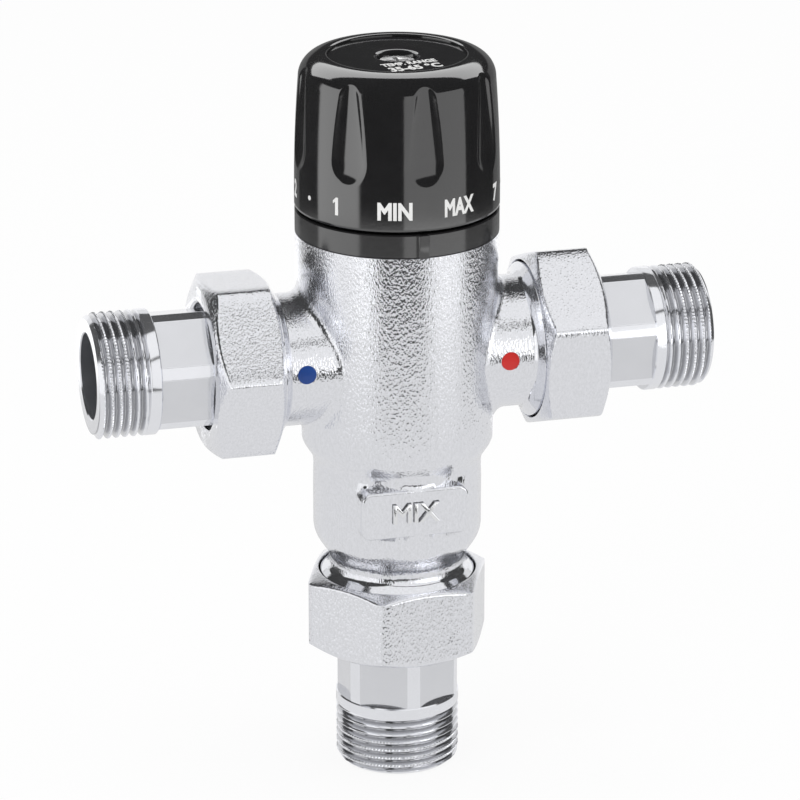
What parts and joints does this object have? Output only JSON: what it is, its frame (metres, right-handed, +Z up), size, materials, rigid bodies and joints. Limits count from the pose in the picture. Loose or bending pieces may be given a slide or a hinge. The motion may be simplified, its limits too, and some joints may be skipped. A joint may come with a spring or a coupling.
{
  "type": "mixing valve",
  "caption": "Chrome-plated hot and cold water mixing valve with a fluted black knob on top, union inlets in line at the sides and a union outlet below.",
  "frame": {"origin": "centre of the outlet tail's end face, the lowest point of the part", "axes": "+Z up along the knob's axis, +X towards the hot inlet, -X towards the cold inlet, front is -Y"},
  "size_m": [0.1326, 0.0434, 0.1572],
  "materials": {
    "forged_chrome": "sand-blasted forging, chrome plated",
    "nut_chrome": "sand-blasted forging, chrome plated",
    "machined_chrome": "machined and chrome plated",
    "black_knob": "gloss black moulding",
    "black_ring": "satin black moulding",
    "blue_plug": "gloss blue",
    "red_plug": "gloss red",
    "brass": "turned brass",
    "steel": "zinc-plated steel",
    "spring_steel": "stainless spring wire",
    "white_polymer": "moulded, limescale-resistant polymer",
    "seal_rubber": "moulded rubber",
    "gasket_rubber": "flat rubber washer"
  },
  "bodies": {
    "housing": {"body": "forged_chrome", "cold_mark": "blue_plug", "hot_mark": "red_plug", "index_ring": "black_ring", "bonnet": "brass", "bonnet_seal": "seal_rubber", "seat_ring": "brass", "spring_plate": "steel", "return_spring": "spring_steel", "cold_tail": "machined_chrome", "cold_nut": "nut_chrome", "cold_gasket": "gasket_rubber", "hot_tail": "machined_chrome", "hot_nut": "nut_chrome", "hot_gasket": "gasket_rubber", "mixed_tail": "machined_chrome", "mixed_nut": "nut_chrome", "mixed_gasket": "gasket_rubber"},
    "knob_set": {"knob": "black_knob", "knob_screw": "steel", "spindle": "brass", "spindle_seal": "seal_rubber", "spindle_clip": "steel"},
    "cartridge": {"regulating_nut": "brass", "cup_clip": "steel", "overtravel_cup": "brass", "overtravel_spring": "spring_steel", "wax_element": "brass", "element_pin": "steel", "shutter": "white_polymer", "shutter_seal": "seal_rubber"}
  },
  "joints": [
    {"name": "knob_turn", "type": "hinge", "parent": "housing", "child": "knob_set", "pos_m": [0, 0, 0.0924], "axis": [0, 0, 1], "range_deg": [0, 336]},
    {"name": "cartridge_rise", "type": "slide", "parent": "housing", "child": "cartridge", "axis": [0, 0, 1], "range_m": [0, 0.00187], "deforming": ["return_spring"]}
  ],
  "couplings": [
    {"joint": "knob_turn", "follows": "cartridge_rise", "rad_per_m": 3141.6}
  ]
}
